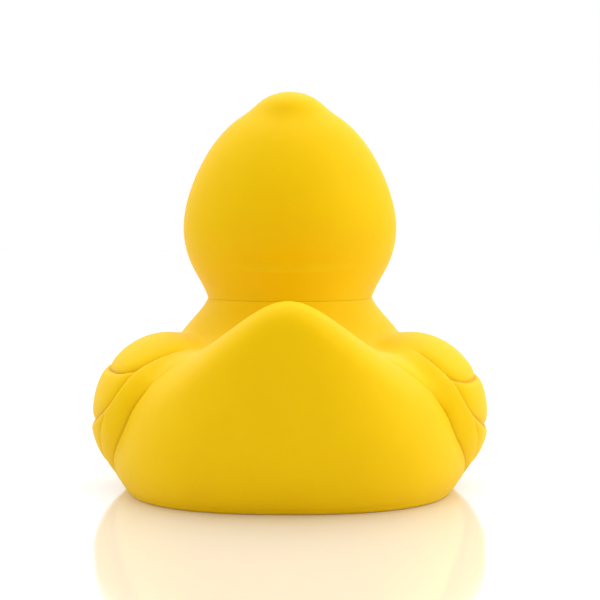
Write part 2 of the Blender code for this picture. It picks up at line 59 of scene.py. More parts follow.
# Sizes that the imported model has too
NECK_Y = -30 * MM  # the neck's upright axis
NECK_Z = 112.8 * MM  # where the body ends
NECK_RADIUS = 49.5 * MM
NECK_HOLE = 43 * MM
SKIN = 2.5 * MM
GAP = 0.3 * MM
BELLY_CENTRE = (0, 10 * MM, 45 * MM)
HEAD_CENTRE = (0, -36 * MM, 160 * MM)
OUTLINE_Z = 3 * MM  # where the foot's outline is taken
FOOT_INSET = 8 * MM
LEDGE_INSET = 15.5 * MM
LEDGE_Z = (6 * MM, 12.5 * MM)
SOCKET_RADIUS = 47.6 * MM
HEAD_LEDGE_RADIUS = 40 * MM
HEAD_LEDGE_Z = (120 * MM, 127 * MM)
MOUTH_Z = 157 * MM
TUBE_LIP_Z = 14 * MM  # what the lowest tablet rests on

# Centres and half axes of the ellipsoids in the duck's form
BREAST = (0, -0.062, 0.060), (0.074, 0.052, 0.052)
WING = (0.0775, -0.010, 0.0460), (0.0425, 0.069, 0.0470)
CHEEKS = (0, -0.038, 0.1565), (0.0665, 0.064, 0.060)
CROWN = (0, -0.036, 0.188), (0.0485, 0.052, 0.047)
TUFT = (0, -0.032, 0.2290), (0.0165, 0.026, 0.0105)
UPPER_BRIDGE = (0, -0.0950, 0.1635), (0.0215, 0.0270, 0.0140)
UPPER_LIP = (0, -0.0952, 0.1603), (0.0308, 0.0317, 0.0048)
NOSTRIL = (0.0058, -0.1172, 0.1735), (0.0016, 0.0028, 0.0022)
LOWER_BRIDGE = (0, -0.0940, 0.1515), (0.0190, 0.0215, 0.0105)
LOWER_LIP = (0, -0.0952, 0.1545), (0.0268, 0.0275, 0.0040)

# Fineness of the meshes
HALVINGS = 26  # of a distance, in the search for a surface
BELLY_COLUMNS = 520
BELLY_BUNCH = 0.34  # how far the columns crowd together towards the wings
BELLY_ROWS = (70, 96)  # below and above the tail's ridge
BELLY_EARLY = 0.65  # the share of the upper rows that lie near the ridge
HEAD_COLUMNS = 288
HEAD_ROWS = 130
INNER_ROWS = (10, 14)  # inside the body and inside the head
BILL_COLUMNS = 260
BILL_ROWS = 150
EYE_STEPS = 96
TURN_STEPS = 144

RIM_ROUND = 0.2 * MM  # rounding of the two rims that meet at the neck
RIM_RAISE = 0.1 * MM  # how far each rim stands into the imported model's gap


# ---- The duck's form, as fields that are negative inside and nearly distances ----


def ellipsoid(p, centre, radii):
    q = p - np.array(centre)
    near = np.linalg.norm(q / np.array(radii), axis=-1)
    slope = np.linalg.norm(q / np.array(radii) ** 2, axis=-1)
    return near * (near - 1) / np.maximum(slope, 1e-9)


def blend(a, b, width):
    """Union of two fields with a soft fillet."""
    h = np.clip(0.5 + 0.5 * (b - a) / width, 0, 1)
    return b * (1 - h) + a * h - width * h * (1 - h)


def cut(a, b, width):
    """What of the first field lies outside the second, with a soft edge."""
    return -blend(-a, b, width)


def ease(v, low, high):
    t = np.clip((v - low) / (high - low), 0, 1)
    return t * t * (3 - 2 * t)


def mirrored(p):
    return np.stack([np.abs(p[..., 0]), p[..., 1], p[..., 2]], -1)


def hull(p):
    """Belly and tail below the back: plan sections that are half superellipses, fore and aft."""
    widest_z, tip_rise, scale = 0.020, 0.098, 0.085
    half_width, taper, foot_taper, least_width = 0.104, 0.057, 0.008, 0.020
    rear_reach, rear_swell, swell_height = 0.101, 0.027, 0.028
    fore_reach, breast_swell, breast_z, fore_taper = 0.098, 0.008, 0.030, 0.006
    taper_power, rear_power, fore_power = 1.54, 2.4, 2.15
    x, y, z = np.abs(p[..., 0]), p[..., 1], p[..., 2]
    over = np.maximum(z - widest_z, 0) / tip_rise
    under = np.maximum(widest_z - z, 0) / widest_z
    wide = np.maximum(half_width - taper * over**taper_power - foot_taper * under**2, least_width)
    rear = rear_reach + rear_swell * (1 - np.exp(-np.maximum(z, 0) / swell_height))
    fore = fore_reach + breast_swell * ease(z, 0, breast_z) - fore_taper * over**2
    reach = np.where(y > 0, rear, fore)
    power = np.where(y > 0, rear_power, fore_power)
    size = ((x / wide) ** power + (np.abs(y) / reach) ** power) ** (1 / power)
    return (size - 1) * scale


def neck_distance(m):
    return np.hypot(m[..., 0], m[..., 1] - NECK_Y)


def tail_ridge(x):
    """Height of the tail's ridge, which falls off to both sides from a rounded tip."""
    top, fall, tip = 0.118, 0.84, 0.020
    return top - fall * (np.hypot(x, tip) - tip)


def belly_field(p):
    back_z, shoulder_rise, back_slope = 0.083, 0.008, 1.25
    neck_top, wing_lean, wing_z = 0.150, 0.055, 0.048
    m = mirrored(p)
    x, y, z = m[..., 0], m[..., 1], m[..., 2]
    aft = ease(y, 0, 0.118)
    back = back_z * (1 - aft) + tail_ridge(x) * aft + shoulder_rise * ease(-y, -0.050, 0.060)
    form = cut(hull(m), (back - z) / back_slope, width=0.014)
    neck = np.maximum(neck_distance(m) - NECK_RADIUS, z - neck_top)
    form = blend(form, neck, width=0.027)
    form = blend(form, ellipsoid(m, *BREAST), width=0.030)
    # The wing leans in a little towards its top
    leaning = np.stack([x + wing_lean * (z - wing_z), y, z], -1)
    return blend(form, ellipsoid(leaning, *WING), width=0.005)


def head_field(p):
    neck_middle, neck_half = 0.116, 0.012
    m = mirrored(p)
    form = blend(ellipsoid(m, *CHEEKS), ellipsoid(m, *CROWN), width=0.022)
    form = blend(form, ellipsoid(m, *TUFT), width=0.013)
    neck = np.maximum(neck_distance(m) - NECK_RADIUS, np.abs(m[..., 2] - neck_middle) - neck_half)
    return blend(form, neck, width=0.010)


def last_inside(inside, low, high):
    """How far each row stays inside, found by halving between the two distances."""
    for _ in range(HALVINGS):
        middle = (low + high) / 2
        within = inside(middle)
        low, high = np.where(within, middle, low), np.where(within, high, middle)
    return low


def reach_surface(field, centre, ways, level=0.0, far=0.2):
    """The point along each way from the centre where the field reaches the level."""
    centre = np.array(centre, float)
    ways = ways / np.linalg.norm(ways, axis=-1, keepdims=True)

    def inside(distance):
        return field(centre + ways * distance[..., None]) < level

    low = last_inside(inside, np.zeros(ways.shape[:-1]), np.full(ways.shape[:-1], far))
    return centre + ways * low[..., None]


def normals_of(field, points):
    step = 0.3 * MM
    slope = [field(points + step * axis) - field(points - step * axis) for axis in np.eye(3)]
    slope = np.stack(slope, -1)
    return slope / np.maximum(np.linalg.norm(slope, axis=-1, keepdims=True), 1e-12)


# ---- Rings ----


def plan_ways(count, bunch=0.0):
    """Level ways round the Z axis. With bunch they crowd together towards the wings."""
    turn = np.arange(count) * 2 * math.pi / count
    turn = turn - bunch * np.sin(2 * turn)
    return np.stack([np.cos(turn), np.sin(turn), 0 * turn], -1)


def circle(ways, radius, z):
    return ways * radius + np.array([0, NECK_Y, z])


def field_ring(field, ways, z, level=0.0, centre_y=NECK_Y):
    """The field's outline at one height, around a point on X = 0."""
    return reach_surface(field, (0, centre_y, z), ways, level)


def between(field, centre, first, last, rows, level=0.0, early=0.5):
    """Rings on the field's surface, fanned from the first ring to the last as seen from the centre.
    Early is the share of them in the first half of the fan."""
    a, b = first - np.array(centre), last - np.array(centre)
    a /= np.linalg.norm(a, axis=-1, keepdims=True)
    b /= np.linalg.norm(b, axis=-1, keepdims=True)
    angle = np.arccos(np.clip((a * b).sum(-1, keepdims=True), -1, 1))
    rings = []
    for row in range(1, rows):
        t = np.interp(row / rows, (0, early, 1), (0, 0.5, 1))
        way = np.sin((1 - t) * angle) * a + np.sin(t * angle) * b
        rings.append(reach_surface(field, centre, way, level))
    return rings


def outline(ways, inset, z):
    """The belly's outline just above the foot, moved in and set at a height."""
    edge = field_ring(belly_field, ways, OUTLINE_Z, centre_y=BELLY_CENTRE[1])
    return edge - ways * inset + np.array([0, 0, z - OUTLINE_Z])


# ---- Mesh helpers ----


def add_object(name, data):
    item = bpy.data.objects.new(name, data)
    bpy.context.scene.collection.objects.link(item)
    return item


def object_from(name, bm):
    mesh = bpy.data.meshes.new(name)
    bm.to_mesh(mesh)
    bm.free()
    return add_object(name, mesh)


def smooth(mesh, sharp):
    """Smooth shading, apart from edges that are sharper than this many degrees."""
    mesh.shade_smooth()
    mesh.set_sharp_from_angle(angle=math.radians(sharp))


def piece_from(name, points, faces):
    """A closed mesh as an object, with its faces turned outward."""
    a, b, c, d = (points[[face[i] for face in faces]] for i in (0, 1, 2, -1))
    volume = np.einsum("ij,ij->i", a, np.cross(b, c)).sum() + np.einsum("ij,ij->i", a, np.cross(c, d)).sum()
    if volume < 0:
        faces = [face[::-1] for face in faces]
    mesh = bpy.data.meshes.new(name)
    mesh.from_pydata(points, [], faces)
    smooth(mesh, 40)
    return add_object(name, mesh)


def loft(name, rings, poles=None):
    """A closed skin over rings of points. It ends in two poles, or joins its last ring to its first."""
    rings = np.array(rings, float)
    rows, columns = rings.shape[:2]
    index = np.arange(rows * columns).reshape(rows, columns)
    upper, lower = (index[:-1], index[1:]) if poles is not None else (index, np.roll(index, -1, 0))
    quads = np.stack([upper, lower, np.roll(lower, -1, 1), np.roll(upper, -1, 1)], -1).reshape(-1, 4)
    faces = quads.tolist()
    points = rings.reshape(-1, 3)
    if poles is not None:
        first, last = len(points), len(points) + 1
        points = np.concatenate([points, np.array(poles, float)])
        for i in range(columns):
            j = (i + 1) % columns
            faces.append([first, int(index[0, i]), int(index[0, j])])
            faces.append([last, int(index[-1, j]), int(index[-1, i])])
    return piece_from(name, points, faces)


def show(piece, body, slot, look, *nodes):
    """Puts a piece on a body, in the given look, in place of the nodes it stands for. The slot is not used.
    """
    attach(piece, body)
    if nodes:
        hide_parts(*nodes)
    piece.data.materials.clear()
    piece.data.materials.append(look)


# ---- Feathers ----

# Each line is the lower edge of a lobe that tucks over the next, from the rear forward, in millimetres
# on the left wing. The lobe's side is to the left of the line's way, as seen from outside.
FEATHER_LINES = {
    "shoulder": [
        (66, 26, 85), (78, 35, 81), (92, 41, 74), (103, 34, 70), (110, 16, 69.5), (113, -6, 70),
        (110, -30, 73), (102, -50, 75),
    ],
    "middle": [
        (91, 42, 73), (98.5, 43.5, 62), (105, 41, 53), (110.5, 31, 46), (116, 14, 40), (118, -8, 39),
        (115, -34, 43), (106, -56, 48),
    ],
    "low": [(108, 38, 45), (109, 32, 37), (109, 24, 26), (108, 10, 14), (106, -12, 9)],
    "shield": [
        (50, 75, 88), (57, 70, 83.5), (67, 64, 76.5), (78, 59, 67), (88, 56.5, 55), (95, 53.5, 41.5),
        (100, 45, 30), (104, 25, 14.5), (105, 8, 9),
    ],
}
# Lip height, groove depth, reach of the lobe, fades at the rear and forward ends, in millimetres
FEATHER_SHAPES = {
    "shoulder": (1.1, 2.1, 32, 9, 50),
    "middle": (1.2, 2.1, 32, 2, 50),
    "low": (0.7, 1.7, 24, 2, 14),
    "shield": (0.3, 2.1, 24, 7, 14),
}
WING_FROM = 40 * MM  # the wings lie further than this from X = 0
WING_DROP = 0.055  # how much higher the left wing's lines run, and lower the right's, as a share of height
DROP_FROM = 14 * MM  # the height from which that share counts
# How the relief falls off beside a line, in millimetres
CUSP = 0.4
LIP_RISE = 1.5
GROOVE_FALL = 1.0
TUCK_FALL = 2.4
# Width of the painted shade beside each fold's line, in millimetres
FOLD_SHADE_WIDTH = 0.75
END_FALL = 2.5 * MM
CHUNK = 4000  # points handled at a time


def smooth_line(points, steps=20):
    """Points of a Catmull-Rom curve through the given points."""
    p = np.array(points, float)
    p = np.concatenate([[2 * p[0] - p[1]], p, [2 * p[-1] - p[-2]]])
    t = np.linspace(0, 1, steps, endpoint=False)[:, None]
    spans = []
    for a, b, c, d in zip(p, p[1:], p[2:], p[3:]):
        bend, twist = 2 * a - 5 * b + 4 * c - d, 3 * b - a - 3 * c + d
        spans.append(0.5 * (2 * b + (c - a) * t + bend * t**2 + twist * t**3))
    return np.concatenate(spans + [p[-2:-1]])


def feather_relief(points, normals, side):
    """How far each point of one wing moves along its normal, and how deep in a fold it lies, for the painted
    shade.
    """
    total, painted_fold_shade = np.zeros(len(points)), np.zeros(len(points))
    flip = np.array([side, 1, 1])
    for name, control in FEATHER_LINES.items():
        lip, groove, reach, fade_rear, fade_fore = FEATHER_SHAPES[name]
        line = smooth_line(control) * MM
        line[:, 2] += side * WING_DROP * (line[:, 2] - DROP_FROM)
        line = reach_surface(belly_field, BELLY_CENTRE, line - np.array(BELLY_CENTRE))
        way = np.gradient(line, axis=0)
        way /= np.linalg.norm(way, axis=1, keepdims=True)
        along = np.concatenate([[0], np.cumsum(np.linalg.norm(np.diff(line, axis=0), axis=1))])
        strength = ease(along, 0, fade_rear * MM) * ease(along[-1] - along, 0, fade_fore * MM)
        for start in range(0, len(points), CHUNK):
            part = slice(start, start + CHUNK)
            gap = (points[part] * flip)[:, None] - line[None]
            far = np.linalg.norm(gap, axis=-1)
            near = far.argmin(1)
            rows = np.arange(len(near))
            off, nearest = gap[rows, near], far[rows, near]
            turn = (np.cross(normals[part] * flip, way[near]) * off).sum(-1)
            past = (off * way[near]).sum(-1)
            past = np.where(near == 0, -past, np.where(near == len(line) - 1, past, 0))
            away = np.hypot(nearest / MM, CUSP) - CUSP
            share = np.exp((nearest[:, None] - far) / END_FALL)
            lobe = lip * (1 - np.exp(-away / LIP_RISE)) * np.exp(-((away / reach) ** 2))
            lobe -= groove * np.exp(-away / GROOVE_FALL)
            tucked = -groove * np.exp(-away / TUCK_FALL)
            weight = (share * strength).sum(-1) / share.sum(-1)
            weight *= np.exp(-((np.maximum(past, 0) / END_FALL) ** 2))
            total[part] += np.where(turn > 0, lobe, tucked) * weight * MM
            # Depth in the fold, which the material paints as shade
            painted_fold_shade[part] = np.maximum(painted_fold_shade[part], np.exp(-((away / FOLD_SHADE_WIDTH) ** 2)) * weight)
    return total, painted_fold_shade


# ---- The two shells ----


def held_inside(points):
    """The points drawn in, by a share of a millimetre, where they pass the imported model's box."""
    points = np.array(points, float)
    for axis, (low, high) in enumerate(zip(*cad_box)):
        along = points[..., axis]
        for limit, beyond in ((low, along.min()), (high, along.max())):
            if abs(beyond) > abs(limit) > 0:
                along[along * limit > 0] *= limit / beyond
    return points


def rim_rings(edge, ways, up):
    """Rings that round a shell's rim off, from its outer edge inward. Up is 1 or -1."""
    turns = np.linspace(0, math.pi / 2, 5)[1:]
    return [
        edge - ways * RIM_ROUND * (1 - math.cos(t)) + np.array([0, 0, up * RIM_ROUND * math.sin(t)])
        for t in turns
    ]


def set_fold_shade(skin, fold_shade_mask, start):
    """Keeps how deep each point lies in a fold, for the material to paint as shade."""
    values = np.zeros(len(skin.data.vertices), np.float32)
    values[start : start + len(fold_shade_mask)] = fold_shade_mask
    skin.data.attributes.new("painted_fold_shade", "FLOAT", "POINT").data.foreach_set("value", values)


def ridge_ring(ways):
    """The ring that follows the tail's ridge aft, and the shoulders' height forward."""
    side_z, breast_rise, rounds = 0.046, 0.020, 20
    middle = np.tile(np.array(BELLY_CENTRE, float), (len(ways), 1))
    shoulders = side_z + breast_rise * np.maximum(-ways[:, 1], 0)
    aft = ease(ways[:, 1], 0.0, 0.35)
    for _ in range(rounds):
        edge = reach_surface(hull, middle, ways)
        middle[:, 2] = shoulders * (1 - aft) + tail_ridge(edge[:, 0]) * aft
    return reach_surface(belly_field, BELLY_CENTRE, edge - np.array(BELLY_CENTRE))


def feathered(rings):
    """The rings with the feathers' relief on both wings, and how deep in a fold each point lies, for the
    painted shade.
    """
    rings = np.array(rings)
    flat = rings.reshape(-1, 3)
    fold_shade_mask = np.zeros(len(flat))
    for side in (1, -1):
        wing = flat[:, 0] * side > WING_FROM
        normals = normals_of(belly_field, flat[wing])
        relief, fold_shade_mask[wing] = feather_relief(flat[wing], normals, side)
        flat[wing] += normals * relief[:, None]
    return list(rings), fold_shade_mask


def build_body_skin():
    foot_curve = ((3.4, 0), (2.5, 0.12), (1.7, 0.45), (0.9, 1.1), (0.3, 2.0))  # inset and height, millimetres
    edge, margin, hole_lip = 0.4 * MM, 1 * MM, 4 * MM
    ways = plan_ways(BELLY_COLUMNS, BELLY_BUNCH)
    rim_z, under_z = NECK_Z + RIM_RAISE, NECK_Z - SKIN
    low_outer = outline(ways, 0, OUTLINE_Z)
    top_outer = field_ring(belly_field, ways, rim_z - RIM_ROUND)
    low_inner = field_ring(belly_field, ways, LEDGE_Z[1] + margin, -SKIN, BELLY_CENTRE[1])
    top_inner = field_ring(belly_field, ways, under_z - margin, -SKIN)
    ridge = ridge_ring(ways)
    sides = [low_outer, *between(belly_field, BELLY_CENTRE, low_outer, ridge, BELLY_ROWS[0]), ridge]
    sides += between(belly_field, BELLY_CENTRE, ridge, top_outer, BELLY_ROWS[1], early=BELLY_EARLY)
    sides, fold_shade_mask = feathered(sides + [top_outer])
    foot = [outline(ways, inset * MM, z * MM) for inset, z in foot_curve]
    rim = rim_rings(top_outer, ways, 1)
    neck = [circle(ways, NECK_HOLE + edge, rim_z), circle(ways, NECK_HOLE, NECK_Z - edge)]
    neck += [circle(ways, NECK_HOLE, under_z), circle(ways, NECK_HOLE + hole_lip, under_z), top_inner]
    inside = between(belly_field, BELLY_CENTRE, top_inner, low_inner, INNER_ROWS[0], -SKIN) + [low_inner]
    ledge = [outline(ways, LEDGE_INSET, LEDGE_Z[1]), outline(ways, LEDGE_INSET, LEDGE_Z[0])]
    ledge += [outline(ways, FOOT_INSET, LEDGE_Z[0]), outline(ways, FOOT_INSET, edge)]
    ledge += [outline(ways, FOOT_INSET - edge, 0)]
    skin = loft("duck_body_skin", held_inside(foot + sides + rim + neck + inside + ledge))
    # How deep each point lies in a fold, for the painted shade
    set_fold_shade(skin, fold_shade_mask, len(foot) * BELLY_COLUMNS)
    return skin


def head_pole(level):
    return reach_surface(head_field, HEAD_CENTRE, np.array([[0.0, 0.0, 1.0]]), level)[0]


def build_head_skin():
    margin, above, pole_radius = 1 * MM, 0.3, 0.1 * MM
    ways = plan_ways(HEAD_COLUMNS)
    rim_z = NECK_Z + GAP - RIM_RAISE
    low_outer = field_ring(head_field, ways, rim_z + RIM_ROUND)
    low_inner = field_ring(head_field, ways, HEAD_LEDGE_Z[1] + margin, -SKIN)
    pole = np.array([[0.0, HEAD_CENTRE[1], above]]).repeat(HEAD_COLUMNS, 0) + ways * pole_radius
    outside = between(head_field, HEAD_CENTRE, pole, low_outer, HEAD_ROWS) + [low_outer]
    outside += rim_rings(low_outer, ways, -1)
    socket = [circle(ways, SOCKET_RADIUS, rim_z), circle(ways, SOCKET_RADIUS, HEAD_LEDGE_Z[0])]
    ledge = [circle(ways, HEAD_LEDGE_RADIUS, z) for z in HEAD_LEDGE_Z]
    inside = [low_inner] + between(head_field, HEAD_CENTRE, low_inner, pole, INNER_ROWS[1], -SKIN)
    rings = held_inside(outside + socket + ledge + inside)
    return loft("duck_head_skin", rings, (held_inside(head_pole(0)[None])[0], head_pole(-SKIN)))


# ---- Turned and moulded pieces ----

WINDOWS = 6  # in the grille and in the dial
WINDOW_RADII = (15 * MM, 33 * MM)
WINDOW_HALF = math.radians(14)
BASE_SCREWS = 8
BASE_SCREW_INSET = 12.2 * MM
BASE_SCREW_Z = (1.6 * MM, 10.8 * MM)
HEAD_SCREWS = 3
HEAD_SCREW_RADIUS = 43.2 * MM
HEAD_SCREW_Z = (NECK_Z + 4.6 * MM, 124.6 * MM)
TABLETS = 3
TABLET_HIGH = 25 * MM
TABLET_RADIUS = 38 * MM


def in_metres(profile):
    """A drawing in millimetres, in metres."""
    return [(radius * MM, z * MM) for radius, z in profile]


def rounded(profile, radius, closed):
    """The profile with a small arc in place of each corner. Points on the axis stay sharp."""
    most = 0.45  # of the shorter side that meets the corner
    points = np.array(profile, float)
    made = []
    for i, corner in enumerate(points):
        on_end = not closed and i in (0, len(points) - 1)
        if on_end or corner[0] == 0:
            made.append(tuple(corner))
            continue
        before, after = points[i - 1] - corner, points[(i + 1) % len(points)] - corner
        long_before, long_after = np.linalg.norm(before), np.linalg.norm(after)
        reach = min(radius, most * long_before, most * long_after)
        first, last = corner + before / long_before * reach, corner + after / long_after * reach
        for t in np.linspace(0, 1, 5):
            made.append(tuple((1 - t) ** 2 * first + 2 * t * (1 - t) * corner + t * t * last))
    return made


def turned(name, profile, edge=0.35, centre=(0, NECK_Y), steps=TURN_STEPS):
    """A profile of (radius, height) turned about a vertical axis, with its corners eased."""
    closed = profile[0][0] > 0
    profile = rounded(profile, edge * MM, closed)
    ways = plan_ways(steps)
    middle = np.array([*centre, 0])
    inner = profile if closed else profile[1:-1]
    rings = [ways * radius + middle + np.array([0, 0, height]) for radius, height in inner]
    poles = None if closed else [middle + np.array([0, 0, profile[i][1]]) for i in (0, -1)]
    return loft(name, rings, poles)


def prism(name, outlines, low, high, centre=(0, NECK_Y)):
    """Upright blocks with the given plan outlines, to cut or join with."""
    bm = bmesh.new()
    for plan in outlines:
        face = bm.faces.new([bm.verts.new((x + centre[0], y + centre[1], low)) for x, y in plan])
        moved = bmesh.ops.extrude_face_region(bm, geom=[face])["geom"]
        upper = [item for item in moved if isinstance(item, bmesh.types.BMVert)]
        bmesh.ops.translate(bm, vec=(0, 0, high - low), verts=upper)
    bmesh.ops.recalc_face_normals(bm, faces=bm.faces)
    return object_from(name, bm)


def arc_points(x, y, radius, steps, start=0.0, sweep=2 * math.pi):
    turns = [start + sweep * i / steps for i in range(steps)]
    return [(x + radius * math.cos(t), y + radius * math.sin(t)) for t in turns]


def swung(plan, turn):
    """The plan turned about its origin."""
    c, s = math.cos(turn), math.sin(turn)
    return [(x * c - y * s, x * s + y * c) for x, y in plan]


def soften(item, width, segments, angle):
    """Rounds the edges that turn by more than the angle. The width is in millimetres."""
    bevel = item.modifiers.new("Edges", "BEVEL")
    bevel.width = width * MM
    bevel.segments = segments
    bevel.limit_method = "ANGLE"
    bevel.angle_limit = math.radians(angle)


def combine(item, other, operation="DIFFERENCE", edge=0.0):
    """Cuts or joins another piece, which is used up, and eases the new edges."""
    change = item.modifiers.new("Combine", "BOOLEAN")
    change.object = other
    change.operation = operation
    if edge:
        soften(item, edge, segments=2, angle=50)
    bpy.context.view_layer.update()
    mesh = bpy.data.meshes.new_from_object(item.evaluated_get(bpy.context.evaluated_depsgraph_get()))
    item.modifiers.clear()
    item.data = mesh
    smooth(mesh, 32)
    bpy.data.objects.remove(other)
    return item


def window_outlines():
    """Sectors between two radii, with ribs between them."""
    plans = []
    inner, outer = WINDOW_RADII
    for number in range(WINDOWS):
        middle = 2 * math.pi * (number + 0.5) / WINDOWS
        turns = middle + np.linspace(-WINDOW_HALF, WINDOW_HALF, 13)
        corners = [(inner, t) for t in turns[::-1]] + [(outer, t) for t in turns]
        plans.append([(r * math.cos(t), r * math.sin(t)) for r, t in corners])
    return plans


def bar_outline(x, length, width, scallops=0):
    """A bar along X with round ends, and finger scallops in its long sides."""
    deepest, end_steps = 0.7 * MM, 12
    half, end = width / 2, length / 2 - width / 2
    plan = arc_points(x + end, 0, half, end_steps, -math.pi / 2, math.pi)
    run = np.linspace(end, -end, 41)
    dent = deepest * (0.5 - 0.5 * np.cos((run + end) / (2 * end) * 2 * math.pi * scallops))
    plan += [(x + r, half - d) for r, d in zip(run, dent)]
    plan += arc_points(x - end, 0, half, end_steps, math.pi / 2, math.pi)
    plan += [(x + r, -half + d) for r, d in zip(run[::-1], dent[::-1])]
    return plan


def build_base_pan():
    # In millimetres: the rim's insets from the foot's outline, then radii about the neck's axis, with heights
    face, well = 1.5, 49.5
    rim = [(9.1, face), (8.8, face + 0.12), (8.6, face + 0.5), (8.6, 4)]
    wall = [(51.5, 4), (51.5, 17.5), (42.4, 17.5), (42.4, 15), (well, 15)]
    wall += [(well, face + 0.6), (well + 0.2, face + 0.2), (well + 0.7, face)]
    ways = plan_ways(240)
    rings = [outline(ways, inset, z) for inset, z in in_metres(rim)]
    rings += [circle(ways, radius, z) for radius, z in in_metres(wall)]
    pan = loft("moulded_base_pan", rings)
    bm = bmesh.new()
    for x, y in screw_places():
        bmesh.ops.create_cone(
            bm, cap_ends=True, segments=48, radius1=3.9 * MM, radius2=1.5 * MM, depth=3.4 * MM,
            matrix=Matrix.Translation((x, y, 2.3 * MM)),
        )
    return combine(pan, object_from("sinks", bm))


def screw_places():
    turn = (np.arange(BASE_SCREWS) + 0.5) * 2 * math.pi / BASE_SCREWS
    ways = np.stack([np.cos(turn), np.sin(turn), 0 * turn], -1)
    edge = reach_surface(belly_field, (0, BELLY_CENTRE[1], OUTLINE_Z), ways)
    return [tuple(point[:2]) for point in edge - ways * BASE_SCREW_INSET]


def head_screw_places():
    return arc_points(0, NECK_Y, HEAD_SCREW_RADIUS, HEAD_SCREWS, math.pi / 2)


def build_screw(name, place, foot, tip):
    """A countersunk screw that points up, with a cross recess in its head."""
    shank, head, point, collar, rim = 1.3 * MM, 2.4 * MM, 0.9 * MM, 1.9 * MM, 0.5 * MM
    profile = [(0, tip), (shank * 0.4, tip), (shank, tip - point), (shank, foot + collar)]
    profile += [(head, foot + rim), (head, foot), (0, foot)]
    screw = turned(name, profile, 0.2, place, 48)
    slim, long, below, deep = 0.35 * MM, 1.45 * MM, 1 * MM, 1.1 * MM
    corner = [(long, -slim), (long, slim), (slim, slim)]
    plan = [spot for quarter in range(4) for spot in swung(corner, quarter * math.pi / 2)]
    return combine(screw, prism("cross", [plan], foot - below, foot + deep, place))


def build_tube():
    outer, bore, lip, flange = 42 * MM, 40 * MM, 36.5 * MM, 47 * MM
    foot, lip_under = 8.5 * MM, 12.2 * MM
    under, top = NECK_Z + 1.6 * MM, NECK_Z + 4.1 * MM
    profile = [(flange, top), (flange, under), (outer, under), (outer, foot), (bore, foot)]
    profile += [(bore, lip_under), (lip, lip_under), (lip, TUBE_LIP_Z), (bore, TUBE_LIP_Z), (bore, top)]
    return turned("moulded_tablet_tube", profile)


def build_lock_ring():
    ring = turned("moulded_lock_ring", in_metres([(48.4, 13), (48.4, 8.8), (42.4, 8.8), (42.4, 13)]))
    middle, radius = 49.5 * MM, 3.4 * MM
    grips = [arc_points(middle * way[0], middle * way[1], radius, 32) for way in plan_ways(6)]
    return combine(ring, prism("grips", grips, 7 * MM, 14 * MM), edge=0.25)


def build_grille():
    profile = [(0, 13.8), (7, 13.8), (7, 11.9), (39.7, 11.9), (39.7, 9.4), (2.2, 9.4), (2.2, 13), (0, 13)]
    grille = turned("moulded_vent_grille", in_metres(profile))
    return combine(grille, prism("windows", window_outlines(), 8 * MM, 13 * MM), edge=0.3)


def build_dial():
    profile = [(7, 9.1), (7, 7.9), (38, 7.9), (38, 5.5), (8.5, 5.5), (8.5, 1.2), (4.6, 1.2), (4.6, 4.9)]
    profile += [(2.4, 4.9), (2.4, 9.1)]
    dial = turned("moulded_flow_dial", in_metres(profile))
    combine(dial, prism("windows", window_outlines(), 4 * MM, 9 * MM), edge=0.3)
    middle, length, width = 21.5 * MM, 30 * MM, 7 * MM
    bars = [bar_outline(side * middle, length, width, scallops=5) for side in (-1, 1)]
    bar = prism("bar", bars, 1.2 * MM, 6 * MM)
    soften(bar, 0.8, segments=3, angle=60)
    return combine(dial, bar, "UNION")


def build_flow_marks():
    """Raised strokes on the pan beside the dial's bar, from windows in line to windows shut."""
    start, width, step = 54 * MM, 1.3 * MM, math.radians(5)
    plans = []
    for number in range(7):
        long = (6.5 - 0.65 * number) * MM
        plans.append(swung(bar_outline(start + long / 2, long, width), number * step))
    marks = prism("flow_marks", plans, 1.0 * MM, 1.6 * MM)
    smooth(marks.data, 35)
    return marks


def build_dial_screw():
    profile = [(0, 12.7), (1.9, 12.2), (1.9, 3.6), (3.9, 3.6), (3.9, 2.3), (3.2, 1.9), (0, 1.9)]
    screw = turned("dial_pan_screw", in_metres(profile), 0.25, steps=64)
    slot = in_metres([(-4, -0.5), (4, -0.5), (4, 0.5), (-4, 0.5)])
    return combine(screw, prism("slot", [slot], 1 * MM, 2.7 * MM))


def build_tablet(number):
    """A pressed tablet: a domed, chamfered disc whose edge has crumbled a little."""
    chamfer, edge_drop, wall_from = 1.8 * MM, 0.3 * MM, 3 * MM
    dome, dome_radius = 0.25 * MM, 36  # the radius in whole millimetres
    crumb_depth, crumb_scale, grit_depth, grit_scale = 0.9 * MM, 260, 0.06 * MM, 1500
    low = TUBE_LIP_Z + GAP + number * (TABLET_HIGH + GAP)
    high = low + TABLET_HIGH
    profile = [(0, high)]
    profile += [(r * MM, high - dome * (r / dome_radius) ** 4) for r in range(4, dome_radius, 3)]
    profile += [(TABLET_RADIUS - chamfer, high - edge_drop), (TABLET_RADIUS, high - chamfer)]
    profile += [(TABLET_RADIUS, z) for z in np.linspace(high - wall_from, low + wall_from, 9)]
    profile += [(TABLET_RADIUS, low + chamfer), (TABLET_RADIUS - chamfer, low + edge_drop)]
    profile += [(r * MM, low + dome * (r / dome_radius) ** 4) for r in range(34, 3, -3)] + [(0, low)]
    tablet = turned(f"pressed_tablet_{number + 1}", profile, 0.5)
    for vertex in tablet.data.vertices:
        spot = vertex.co
        reach = math.hypot(spot.x, spot.y - NECK_Y)
        edge = ease(reach, 34.5 * MM, 37 * MM) * ease(abs(spot.z - (low + high) / 2), 8 * MM, 11.5 * MM)
        crumb = max(noise.noise(spot * crumb_scale + Vector((0, 0, 7 * number))), 0) * crumb_depth * edge
        grit = grit_depth * abs(noise.noise(spot * grit_scale))
        inward = 1 - (crumb + grit) / max(reach, 1 * MM)
        spot.x, spot.y = spot.x * inward, NECK_Y + (spot.y - NECK_Y) * inward
    return tablet


